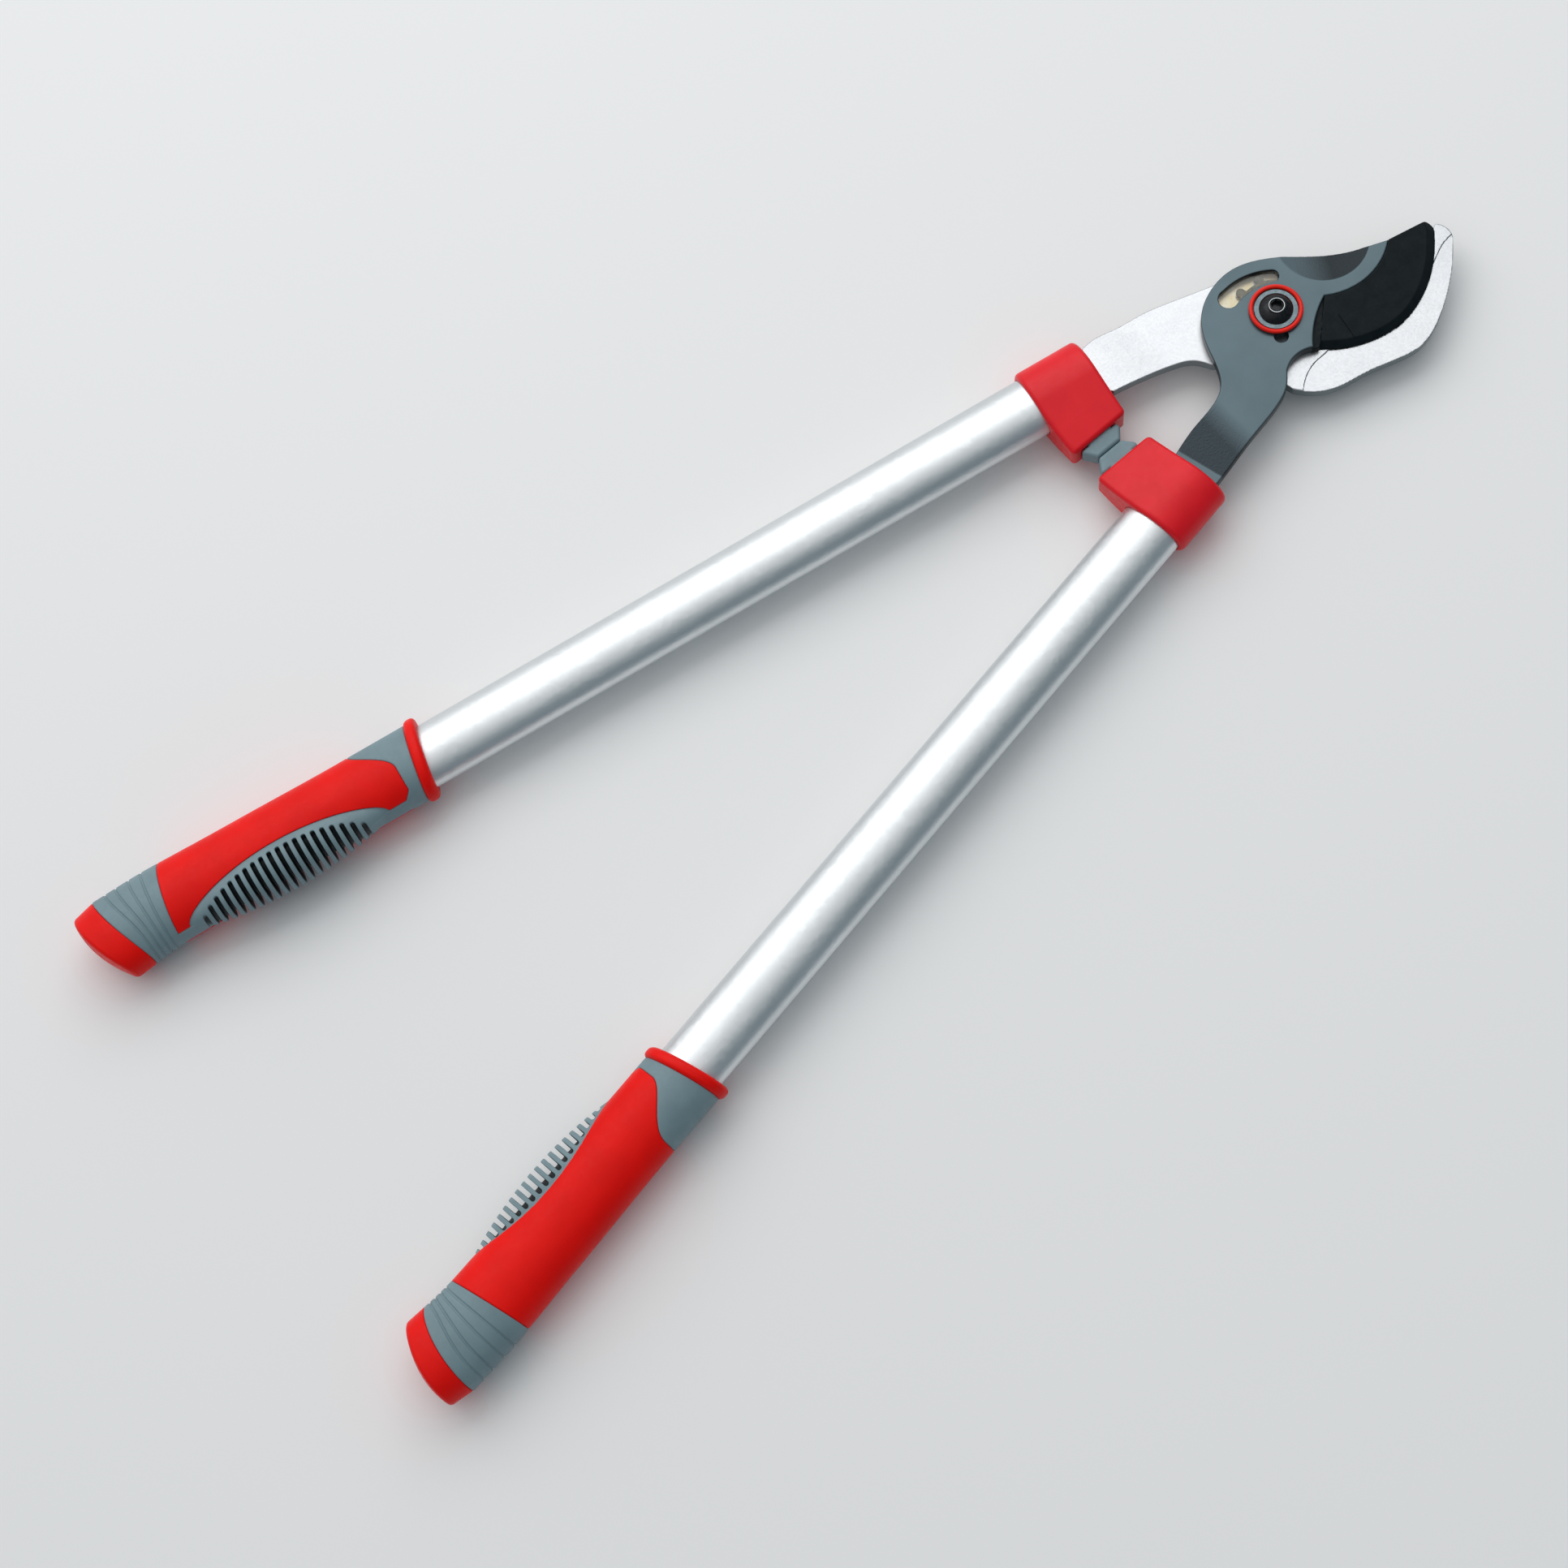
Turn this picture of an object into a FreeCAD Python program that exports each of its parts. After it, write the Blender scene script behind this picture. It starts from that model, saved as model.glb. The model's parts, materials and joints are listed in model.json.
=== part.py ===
import FreeCAD, Part
import math
import os

# Bypass loppers, closed, lying flat. Millimetres.
# The pivot axis is the Z axis, the jaws point along +X and the two handles run back along -X.
# Z = 0 is the resting plane: the flat end of the pivot bolt and its nut.

V = FreeCAD.Vector

# Stack of heights on the pivot axis.
nut_height = 7.6
nut_washer_thick = 1.5
hook_thick = 5.5
running_gap = 0.3
ground_depth = 0.45
lever_thick = 5.2
top_washer_thick = 1.2
head_height = 4.0
hook_low = nut_height + nut_washer_thick
hook_top = hook_low + hook_thick
lever_low = hook_top + running_gap
lever_top = lever_low + lever_thick
middle = hook_top + running_gap / 2.0
washer_low = lever_top + running_gap
head_low = washer_low + top_washer_thick

# Pivot radii.
bolt_r = 5.0
head_r = 7.9
socket_flat = 5.0
bush_r = 7.0
bush_play = 0.05
top_washer_r = 10.0
seal_mid_r = 11.5
seal_wire_r = 1.05
dust_inner_r = 10.7
dust_outer_r = 12.3
thrust_disc_r = 15.0
thrust_disc_thick = 1.2
nut_flat = 17.0
nut_washer_r = 10.5

# Toothed locking disc seen through the curved window.
lock_root_r = 17.4
lock_tip_r = 21.2
lock_teeth = 11
lock_tooth_w = 4.2
lock_thick = 2.0
lock_pocket_r = 21.8
lens_thick = 0.85

# Handles: both tube axes meet the long centre line at one point.
axes_cross_x = 123.6
half_angle = 9.74
tube_half_w = 15.0
tube_half_h = 9.6
tube_wall = 1.6
tube_head_u = -211.0
tube_grip_u = -728.0
tang_half_w = 10.0
tang_thick = 5.2
tang_end_u = -256.0
rivet_u = (-218.0, -232.0)
rivet_r = 3.0

# Red collar over the end of each tube.
collar_half_w = 17.8
collar_half_h = 12.0
stop_half_h = 4.4
lobe_half_h = 6.4
lobe_face_y = 7.7

# Grips.
grip_half_w = 18.3
grip_half_h = 13.5
core_half_w = 16.2
core_half_h = 11.4
grip_roll = 12.0
ring_u = -566.6
ring_slant = -0.185
ring_half_thick = 2.9
ring_half_w = 19.8
ring_half_h = 14.6
pad_mid_u = -642.5
pad_axis_w = 11.6
pad_r = 12.8
pad_arc_r = 195.0
fin_mid_u = -644.0
fin_pitch = 4.3
fin_slot = 2.2
fin_slots = 20
seam_strip_half = 4.1
seam_strip_mid = -1.5


def curve(points):
    """Line through two points, arc through three, smooth curve through more."""
    vectors = [V(x, y, 0) for x, y in points]
    if len(vectors) == 2:
        return Part.makeLine(vectors[0], vectors[1])
    if len(vectors) == 3:
        return Part.Arc(vectors[0], vectors[1], vectors[2]).toShape()
    spline = Part.BSplineCurve()
    spline.interpolate(vectors)
    return spline.toShape()


def plate(pieces, low, high):
    """Closed outline made of joined curves, raised from one height to another."""
    wire = Part.Wire([curve(points) for points in pieces])
    face = Part.Face(wire)
    face.translate(V(0, 0, low))
    return face.extrude(V(0, 0, high - low))


def cylinder(radius, low, high, x=0.0, y=0.0):
    return Part.makeCylinder(radius, high - low, V(x, y, low), V(0, 0, 1))


def tube_ring(outer, inner, low, high):
    return cylinder(outer, low, high).cut(cylinder(inner, low - 1, high + 1))


def revolved(points, x=0.0, y=0.0):
    """Solid turned about a vertical axis from a (radius, height) polygon."""
    wire = Part.makePolygon([V(r, 0, z) for r, z in points + points[:1]])
    solid = Part.Face(wire).revolve(V(0, 0, 0), V(0, 0, 1), 360)
    solid.translate(V(x, y, 0))
    return solid


def hexagon(flat, low, high):
    corner = flat / math.sqrt(3.0)
    points = [V(corner * math.cos(math.radians(60 * k)), corner * math.sin(math.radians(60 * k)), low)
              for k in range(7)]
    return Part.Face(Part.makePolygon(points)).extrude(V(0, 0, high - low))


def ellipse_wire(u, half_w, half_h, shift=0.0):
    """Ellipse standing across the tube at station u, half_w along v and half_h along z."""
    ellipse = Part.Ellipse(V(0, 0, 0), half_w, half_h).toShape()
    wire = Part.Wire([ellipse])
    wire.rotate(V(0, 0, 0), V(0, 0, 1), 90)
    wire.rotate(V(0, 0, 0), V(0, 1, 0), 90)
    wire.translate(V(u, shift, 0))
    return wire


def oval_bar(half_w, half_h, u0, u1):
    return Part.Face(ellipse_wire(u0, half_w, half_h)).extrude(V(u1 - u0, 0, 0))


def along_tube(profile, u0, u1):
    """Polygon of (v, z) points drawn along the tube."""
    points = [V(u0, v, z) for v, z in profile + profile[:1]]
    return Part.Face(Part.makePolygon(points)).extrude(V(u1 - u0, 0, 0))


def handle_point(u, v, side):
    """Plan position of a point u along the tube and v outward, side +1 upper or -1 lower."""
    angle = math.radians(half_angle)
    x = axes_cross_x + u * math.cos(angle) + v * math.sin(angle)
    y = v * math.cos(angle) - u * math.sin(angle)
    return (x, side * y)


def place(shape, side):
    """Set a shape built on the tube axis into the upper or the lower handle."""
    placed = shape.copy()
    if side < 0:
        placed.rotate(V(0, 0, 0), V(1, 0, 0), 180)
    placed.rotate(V(0, 0, 0), V(0, 0, 1), -side * half_angle)
    placed.translate(V(axes_cross_x, 0, middle))
    return placed


def rolled(shape):
    """Turn grip details from the inner side of the handle towards the upper face."""
    shape.rotate(V(0, 0, 0), V(1, 0, 0), -grip_roll)
    return shape


def jogged(flat, low, thick, bend_x, flat_x):
    """Keep the part of a tall plate between two faces that step to mid-height along the tang."""
    tang_low = middle - tang_thick / 2.0
    tang_high = middle + tang_thick / 2.0
    profile = [(120, low), (bend_x, low), (flat_x, tang_low), (-200, tang_low),
               (-200, tang_high), (flat_x, tang_high), (bend_x, low + thick), (120, low + thick)]
    points = [V(x, -120, z) for x, z in profile + profile[:1]]
    band = Part.Face(Part.makePolygon(points)).extrude(V(0, 240, 0))
    return flat.common(band)


def tang_outline(side, inner_v, outer_v):
    """Shoulders and the narrow tongue that goes into the tube, from inner edge to outer edge."""
    corners = [(-205.8, inner_v), (-208.0, inner_v + 2.2), (-208.0, -tang_half_w), (tang_end_u, -tang_half_w),
               (tang_end_u, tang_half_w), (-208.0, tang_half_w), (-206.2, outer_v)]
    return [handle_point(u, v, side) for u, v in corners]


def lines(points):
    return [[points[k], points[k + 1]] for k in range(len(points) - 1)]


def ground_zone():
    """Plan shape of the ground crescent on the counter-blade."""
    pieces = [[(-21, -41), (-12.5, -33.6), (-7.5, -31), (0, -29.5), (8, -29), (18, -22)],
              [(18, -22), (60, -14)],
              [(60, -14), (69, -31)],
              [(69, -31), (77, -27.2), (84.5, -24.6), (96, -25.5)],
              [(96, -25.5), (96, -64)],
              [(96, -64), (-21, -64)],
              [(-21, -64), (-21, -41)]]
    return plate(pieces, hook_top - ground_depth, hook_top + 1)


def hook_lever():
    tang = tang_outline(1, -14.5, 12.0)
    body = lines(tang)
    body.append([tang[-1], (-70, 47.0), (-60, 44.9), (-46, 42.6), (-28, 37.1), (-14, 32.2), (-4, 28.6)])
    body.append([(-4, 28.6), (10, 24.0), (19, 12), (19.5, -2), (13, -14), (13, -23), (20, -31),
                 (31, -36.2), (42, -37.2), (56, -34), (68, -27.5), (79, -19), (87.2, -15.2)])
    body.append([(87.2, -15.2), (89.6, -20.2), (88.4, -25.6)])
    body.append([(88.4, -25.6), (78, -36), (64, -46.3), (51, -53.2), (38, -56.1), (26, -53.6),
                 (10, -48.8), (-6, -44.8), (-15, -38.4), (-19.4, -33)])
    body.append([(-19.4, -33), (-26, -15), (-38.5, 1.2)])
    body.append([(-38.5, 1.2), (-43, 8), (-51, 12.6), (-64, 16.5), tang[0]])
    flat = plate(body, 0, 40)
    plate_solid = jogged(flat, hook_low, hook_thick, -51, -78)
    bolt_hole = cylinder(bolt_r, hook_low - 1, hook_top + 1)
    disc_seat = cylinder(thrust_disc_r, hook_top + 0.15 - thrust_disc_thick, hook_top + 1)
    return plate_solid.cut(bolt_hole).cut(disc_seat).cut(ground_zone())


def blade_profile():
    """Face ground hollow about an axis above the spine, thinning towards the cutting edge."""
    low = lever_low
    points = [(0, low), (64, low), (64, low + 1.2), (57, low + 2.5), (34.2, lever_top), (0, lever_top)]
    return revolved(points, 42.0, 18.3)


def edge_bevel():
    """Steep bevel that follows the cutting edge."""
    low = lever_low
    points = [(0, low), (51.4, low), (47.2, low + 2.9), (47.2, lever_top + 1), (0, lever_top + 1)]
    return revolved(points, 39.9, 8.9)


def blade_tongue():
    """Curved tongue along the back of the blade, held in a slot of the lever."""
    sector = tube_ring(34.6, 28.5, lever_low + 1.6, lever_low + 3.6)
    sector.translate(V(42.0, 18.3, 0))
    window = Part.makeBox(26, 14, 40, V(29, -17, 0))
    return sector.common(window)


def cutting_blade():
    outline = [[(21.6, -9.5), (42, -15.9), (63.1, -8.2)],
               [(63.1, -8.2), (81.6, -11.7)],
               [(81.6, -11.7), (84.5, -14.9), (83.9, -18.3)],
               [(83.9, -18.3), (74, -28.2), (58, -38.2), (40, -42.3), (21, -38.4), (10, -32.4), (2.6, -26.3)],
               [(2.6, -26.3), (21.6, -9.5)]]
    body = plate(outline, 0, 40).common(blade_profile()).common(edge_bevel())
    heel_step = plate([[(0, -25.2), (9.3, -16.2), (21.6, -9.5)], [(21.6, -9.5), (2.6, -26.3)],
                       [(2.6, -26.3), (0, -25.2)]], lever_low, lever_low + 3.4)
    heel_step = heel_step.cut(cylinder(lock_pocket_r, lever_low - 1, lever_low + lock_thick + 0.4))
    return body.fuse([blade_tongue(), heel_step]).removeSplitter()


def window_outline(low, high):
    """Tapered crescent window above the pivot."""
    pieces = [[(-11.0, 23.7), (1.2, 22.7), (12.6, 16.8)],
              [(12.6, 16.8), (13.9, 13.2), (10.3, 11.1)],
              [(10.3, 11.1), (-1.0, 15.0), (-11.6, 14.4)],
              [(-11.6, 14.4), (-16.6, 19.3), (-11.0, 23.7)]]
    return plate(pieces, low, high)


def lever_outline():
    tang = tang_outline(-1, -13.4, 10.6)
    body = lines(tang)
    body.append([tang[-1], (-62, -42.0), (-45, -38.6), (-30, -35.2), (-22.5, -31.6), (-17, -26)])
    body.append([(-17, -26), (-8.5, -22.9), (0, -25.2)])
    body.append([(0, -25.2), (9.3, -16.2), (21.6, -9.5)])
    body.append([(21.6, -9.5), (42, -15.9), (63.1, -8.2)])
    body.append([(63.1, -8.2), (47.5, -1), (32.5, 9.6), (17.5, 21.2), (0, 29.3), (-15, 28), (-27.5, 20.7),
                 (-34.6, 10), (-38.6, -1), (-45, -11.5), (-56, -16.2), (-68, -17.9), tang[0]])
    return body


def blade_lever():
    body = jogged(plate(lever_outline(), 0, 40), lever_low, lever_thick, -54, -74)
    body = body.cut(cylinder(bush_r + bush_play, lever_low - 1, lever_top + 1))
    body = body.cut(cylinder(lock_pocket_r, lever_low - 1, lever_low + lock_thick + 0.4))
    body = body.cut(window_outline(0, 40))
    lock_notch = cylinder(3.3, lever_low + 1, lever_top + 1, -7.0, -11.3)
    thumb_scoop = Part.makeSphere(90.0, V(41.0, 13.0, lever_top + 87.3))
    return body.cut(lock_notch).cut(thumb_scoop).cut(blade_tongue())


def lock_disc():
    """Toothed disc in the pocket under the lever."""
    low = lever_low + 0.1
    disc = cylinder(lock_root_r, low, low + lock_thick)
    for k in range(lock_teeth):
        tooth = Part.makeBox(lock_tip_r - 2.1, lock_tooth_w, lock_thick, V(0, -lock_tooth_w / 2.0, low))
        tooth = tooth.fuse(cylinder(lock_tooth_w / 2.0, low, low + lock_thick, lock_tip_r - 2.1))
        tooth.rotate(V(0, 0, 0), V(0, 0, 1), 71 + 360.0 * k / lock_teeth)
        disc = disc.fuse(tooth)
    return disc.removeSplitter().cut(cylinder(bush_r + 0.5, low - 1, low + 5))


def window_lens():
    low = lever_low + lock_thick + 0.45
    return window_outline(low, low + lens_thick)


def pivot_bush():
    return tube_ring(bush_r, bolt_r, hook_top + 0.15, washer_low)


def thrust_disc():
    return tube_ring(thrust_disc_r, bolt_r, hook_top + 0.15 - thrust_disc_thick, hook_top + 0.15)


def top_washer():
    return tube_ring(top_washer_r, bolt_r, washer_low, head_low)


def pivot_bolt():
    shank = cylinder(bolt_r, 0, head_low)
    crown = Part.makeSphere(10.6, V(0, 0, head_low + head_height - 10.6))
    head = cylinder(head_r, head_low, head_low + head_height).common(crown)
    head = head.cut(hexagon(socket_flat, head_low + 1.0, head_low + 10))
    rim = tube_ring(4.1, 3.3, head_low + 2.9, head_low + head_height)
    return shank.fuse(head.fuse(rim.cut(hexagon(socket_flat, 0, 60)))).removeSplitter()


def lock_nut():
    corner = revolved([(0, 0), (8.6, 0), (9.9, 1.2), (9.9, nut_height), (0, nut_height)])
    return hexagon(nut_flat, 0, nut_height).common(corner).cut(cylinder(bolt_r, -1, nut_height + 1))


def nut_washer():
    return tube_ring(nut_washer_r, bolt_r, nut_height, hook_low)


def dust_collar():
    ring = tube_ring(dust_outer_r, dust_inner_r, lever_top, lever_top + 1.5)
    return ring.cut(ring_seal())


def ring_seal():
    return Part.makeTorus(seal_mid_r, seal_wire_r, V(0, 0, lever_top + 1.5), V(0, 0, 1))


def tube(side):
    outer = oval_bar(tube_half_w, tube_half_h, tube_grip_u, tube_head_u)
    inner = oval_bar(tube_half_w - tube_wall, tube_half_h - tube_wall, tube_grip_u - 1, tube_head_u + 1)
    return place(outer.cut(inner), side)


def tube_rivets(side):
    """Two cross rivets trimmed to the tube, hidden under the collar."""
    skin = oval_bar(tube_half_w, tube_half_h, -260, tube_head_u)
    pins = [Part.makeCylinder(rivet_r, 40, V(u, 0, -20)).common(skin) for u in rivet_u]
    return place(Part.makeCompound([pin.Solids[0] for pin in pins]), side)


def tang_plug(side):
    core = oval_bar(tube_half_w - tube_wall, tube_half_h - tube_wall, tang_end_u - 6, tube_head_u)
    return place(core, side)


def collar_body(side):
    sleeve = oval_bar(collar_half_w, collar_half_h, -246, -200)
    lobe = along_tube([(-4.5, 11.61), (-36, lobe_half_h), (-36, -lobe_half_h), (-4.5, -11.61)], -246, -200)
    slope = math.tan(math.radians(half_angle))
    lobe_offset = lobe_face_y / math.cos(math.radians(half_angle))
    tube_corner = (-239.6, -239.6 * slope + lobe_offset)
    head_corner = (-207.7, -207.7 * slope + lobe_offset)
    plan = [[tube_corner, head_corner],
            [head_corner, (-208.3, -3), (-208.1, 18.6)],
            [(-208.1, 18.6), (-240.7, 18.6)],
            [(-240.7, 18.6), (-241.4, 0), (-240.7, -18.6)],
            [(-240.7, -18.6), tube_corner]]
    body = sleeve.fuse(lobe).common(plate(plan, -30, 30)).removeSplitter()
    return place(body, side)


def bumper(side):
    """Chamfered rubber stop with a stem that fits in the collar."""
    near = running_gap / 2.0
    outline = [(-113.4, 6.0), (-109.4, near), (-96.0, near), (-91.8, 5.0), (-91.8, lobe_face_y),
               (-95, lobe_face_y), (-95, 15), (-109, 15), (-109, lobe_face_y), (-113.4, lobe_face_y)]
    block = plate(lines(outline + outline[:1]), middle - stop_half_h, middle + stop_half_h)
    if side < 0:
        block = block.mirror(V(0, 0, 0), V(0, 1, 0))
    return block


def grip_body(inset):
    """Flared oval hand grip, optionally drawn inside its own surface."""
    stations = [(-566, 0.0, 18.4, 13.5), (-600, 0.0, 18.3, 13.4), (-645, 0.4, 18.6, 13.4),
                (-682, 0.5, 19.2, 13.7), (-700, 0.5, 19.6, 13.9), (-714, -0.4, 20.1, 14.0),
                (-726, -1.5, 20.7, 14.1), (-740, -3.5, 19.4, 13.1)]
    wires = [ellipse_wire(u, half_w - inset, half_h - inset, shift) for u, shift, half_w, half_h in stations]
    return Part.makeLoft(wires, True)


def grip_end_trim():
    """Everything on the tube side of the bulged end face."""
    pieces = [[(-500, 40), (-738.4, 40)],
              [(-738.4, 40), (-738.4, 17)],
              [(-738.4, 17), (-736.5, -3), (-723.5, -23.6)],
              [(-723.5, -23.6), (-713, -40)],
              [(-713, -40), (-500, -40)],
              [(-500, -40), (-500, 40)]]
    return plate(pieces, -40, 40)


def cap_zone():
    pieces = [[(-728.7, 40), (-727.5, 21), (-723.2, 0), (-714.5, -20), (-706.7, -40)],
              [(-706.7, -40), (-760, -40)],
              [(-760, -40), (-760, 40)],
              [(-760, 40), (-728.7, 40)]]
    return rolled(plate(pieces, -40, 40))


def panel_zone():
    """Plan shape of the hard panels on both faces of the grip."""
    pieces = [[(-578, -40), (-578, -6)],
              [(-578, -6), (-580.4, 0.4), (-585, 4.5), (-590.6, 8.4), (-594.4, 14), (-595.6, 22)],
              [(-595.6, 22), (-595.6, 40)],
              [(-595.6, 40), (-692.4, 40)],
              [(-692.4, 40), (-692.4, 21)],
              [(-692.4, 21), (-696.1, 0), (-699.2, -21)],
              [(-699.2, -21), (-699.2, -40)],
              [(-699.2, -40), (-578, -40)]]
    zone = plate(pieces, -40, 40)
    strip = Part.makeBox(140, 40, 2 * seam_strip_half, V(-710, -40, seam_strip_mid - seam_strip_half))
    return rolled(zone.cut(strip))


def pad_bulge():
    """Lemon-shaped swelling that carries the fins on the inner side."""
    reach = math.sqrt(pad_arc_r ** 2 - (pad_arc_r - pad_r) ** 2)
    ends = [V(pad_mid_u - reach, -pad_axis_w, 0), V(pad_mid_u + reach, -pad_axis_w, 0)]
    arc = Part.Arc(ends[0], V(pad_mid_u, -pad_axis_w - pad_r, 0), ends[1]).toShape()
    face = Part.Face(Part.Wire([arc, Part.makeLine(ends[1], ends[0])]))
    return rolled(face.revolve(V(0, -pad_axis_w, 0), V(1, 0, 0), 360))


def fin_cutters():
    """Slots between the fins, shorter towards both ends of the pad."""
    slots = []
    for k in range(fin_slots):
        offset = (k - (fin_slots - 1) / 2.0) * fin_pitch
        top_w = 9.7 + 7.3 * abs(offset / 40.0) ** 2.2
        start = V(fin_mid_u + offset - fin_slot / 2.0, -40, -20)
        slots.append(Part.makeBox(fin_slot, 40 - top_w, 40, start))
    floor = oval_bar(core_half_w + 0.8, core_half_h + 0.8, -700, -590)
    return rolled(Part.makeCompound(slots)).cut(floor)


def end_grooves():
    """Fan of shallow grooves round the end of the sleeve."""
    slabs = []
    for inner_u, outer_u in ((-712.0, -720.6), (-709.0, -715.0), (-705.9, -708.3), (-702.7, -701.8)):
        slab = Part.makeBox(0.9, 60, 60, V(-0.45, -30, -30))
        slab.rotate(V(0, 0, 0), V(0, 0, 1), math.degrees(math.atan2(inner_u - outer_u, 40.0)))
        slab.translate(V((inner_u + outer_u) / 2.0, 0, 0))
        slabs.append(slab)
    return rolled(Part.makeCompound(slabs)).cut(grip_body(0.8))


def mouth_ring():
    """Leaning red ring at the mouth of the grip."""
    bar = oval_bar(ring_half_w, ring_half_h, -600, -530)
    slab = Part.makeBox(2 * ring_half_thick, 60, 60, V(-ring_half_thick, -30, -30))
    slab.rotate(V(0, 0, 0), V(0, 0, 1), math.degrees(math.atan(ring_slant)))
    slab.translate(V(ring_u, 0, 0))
    ring = bar.common(slab)
    return ring.makeFillet(1.8, ring.Edges)


def largest(shape):
    """The main solid, without slivers left by coincident faces."""
    return max(shape.Solids, key=lambda solid: solid.Volume)


def grip_parts():
    """Hard core, soft sleeve and end cap of one grip, built on the tube axis."""
    trim = grip_end_trim()
    cap = cap_zone()
    bulge = pad_bulge()
    outside = grip_body(0)
    bore = oval_bar(tube_half_w, tube_half_h, tube_grip_u, -540)
    ring = mouth_ring()
    behind_ring = Part.makeBox(220, 200, 60, V(-220, -100, -30))
    behind_ring.rotate(V(0, 0, 0), V(0, 0, 1), math.degrees(math.atan(ring_slant)))
    behind_ring.translate(V(ring_u, 0, 0))
    hull = outside.common(behind_ring)
    zone = panel_zone()
    inner_oval = oval_bar(core_half_w, core_half_h, -745, -540)
    liner = inner_oval.common(behind_ring).cut(cap)
    panels = hull.common(zone).cut(bulge)
    core = liner.fuse([panels, ring]).cut(bore).removeSplitter()
    end_cap = hull.common(cap).common(trim).cut(bore)
    spigot = oval_bar(tube_half_w - tube_wall, tube_half_h - tube_wall, tube_grip_u, -714)
    end_cap = end_cap.fuse(spigot).removeSplitter()
    sleeve = hull.cut(cap).cut(zone).fuse(bulge.common(behind_ring)).cut(inner_oval).cut(ring)
    sleeve = largest(sleeve.cut(fin_cutters()).cut(end_grooves()))
    return core, sleeve, end_cap


def save(name, shape):
    shape.exportStep("parts/" + name + ".step")
    print(name, len(shape.Solids), round(shape.Volume, 1), shape.isValid())


def build():
    os.makedirs("parts", exist_ok=True)
    tangs = {1: hook_lever(), -1: blade_lever()}
    names = {1: "upper", -1: "lower"}
    levers = {1: "hook_lever", -1: "blade_lever"}
    for side in (1, -1):
        rivets = tube_rivets(side)
        hollow = tube(side)
        lever = tangs[side]
        stop = bumper(side)
        save(levers[side], lever.cut(rivets))
        save(names[side] + "_tube_rivets", rivets)
        save(names[side] + "_tube", hollow.cut(rivets))
        save(names[side] + "_tang_plug", tang_plug(side).cut(lever).cut(rivets))
        skin = place(oval_bar(tube_half_w, tube_half_h, -250, tube_head_u), side)
        save(names[side] + "_collar", collar_body(side).cut(skin).cut(lever).cut(stop))
        save(names[side] + "_bumper", stop)
    core, sleeve, end_cap = grip_parts()
    for side in (1, -1):
        save(names[side] + "_grip_core", place(core, side))
        save(names[side] + "_grip_sleeve", place(sleeve, side))
        save(names[side] + "_end_cap", place(end_cap, side))
    for make in (cutting_blade, window_lens, lock_disc, pivot_bush, thrust_disc, top_washer,
                 pivot_bolt, lock_nut, nut_washer, dust_collar, ring_seal):
        save(make.__name__, make())


build()
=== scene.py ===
"""Bypass loppers: the looks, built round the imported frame.

Shapes are worked out in millimetres in the row frame (pivot axis = Z, jaws towards +X),
or in a handle's own frame (u along the tube towards the head, v outward, z up), and are
turned into metres when a mesh is made.
"""

import json
import math

import bpy
import numpy as np
from mathutils import Matrix, Vector


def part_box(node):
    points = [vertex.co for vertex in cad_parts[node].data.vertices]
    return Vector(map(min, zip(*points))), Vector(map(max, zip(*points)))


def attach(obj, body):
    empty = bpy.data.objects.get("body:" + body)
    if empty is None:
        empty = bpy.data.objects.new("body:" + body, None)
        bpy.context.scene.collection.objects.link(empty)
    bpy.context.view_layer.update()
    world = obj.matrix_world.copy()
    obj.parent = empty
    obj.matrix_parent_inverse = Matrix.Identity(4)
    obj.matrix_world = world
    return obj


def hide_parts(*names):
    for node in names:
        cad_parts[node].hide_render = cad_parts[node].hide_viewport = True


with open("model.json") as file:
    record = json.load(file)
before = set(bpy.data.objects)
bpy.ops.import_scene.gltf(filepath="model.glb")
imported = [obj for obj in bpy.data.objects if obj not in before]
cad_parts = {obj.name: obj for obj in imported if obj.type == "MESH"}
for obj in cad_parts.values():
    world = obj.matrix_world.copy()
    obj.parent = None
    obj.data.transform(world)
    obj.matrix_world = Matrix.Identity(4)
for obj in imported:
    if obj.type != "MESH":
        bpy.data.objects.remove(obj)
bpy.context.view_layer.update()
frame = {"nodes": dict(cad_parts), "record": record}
nodes = frame["nodes"]

MM = 0.001

# Heights read from the frame.
lever_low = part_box("cutting_blade")[0].z / MM
lever_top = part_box("blade_lever")[1].z / MM
hook_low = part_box("nut_washer")[1].z / MM
hook_top = lever_low - 0.3
middle = (lever_low + hook_top) / 2.0

# Handles.
AXES_CROSS_X = 123.6
HALF_ANGLE = math.radians(9.74)
TUBE = (15.0, 9.6)
LINER = (16.2, 11.4)
ROLL = math.radians(12.0)


# ---------------------------------------------------------------- meshes from distance fields

def round_max(a, b, r):
    """Intersection whose edge is rounded to radius r."""
    a, b = a + r, b + r
    return np.hypot(np.maximum(a, 0.0), np.maximum(b, 0.0)) + np.minimum(np.maximum(a, b), 0.0) - r


def oval(v, z, half_w, half_h):
    """Distance to an ellipse across the tube."""
    k = np.sqrt((v / half_w) ** 2 + (z / half_h) ** 2) + 1e-6
    slope = np.sqrt((v / half_w ** 2) ** 2 + (z / half_h ** 2) ** 2) + 1e-6
    return (k - 1.0) * k / slope


def ease(x, start, end):
    """Smooth step from 0 at start to 1 at end."""
    t = np.clip((x - start) / (end - start), 0.0, 1.0)
    return t * t * (3.0 - 2.0 * t)


def gradient(field, p, reach):
    """Slope of a field at points p."""
    slope = np.empty_like(p)
    for axis in range(3):
        step = np.zeros(3)
        step[axis] = reach
        ahead, behind = p + step, p - step
        slope[:, axis] = (field(*ahead.T) - field(*behind.T)) / (2.0 * reach)
    return slope


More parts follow.
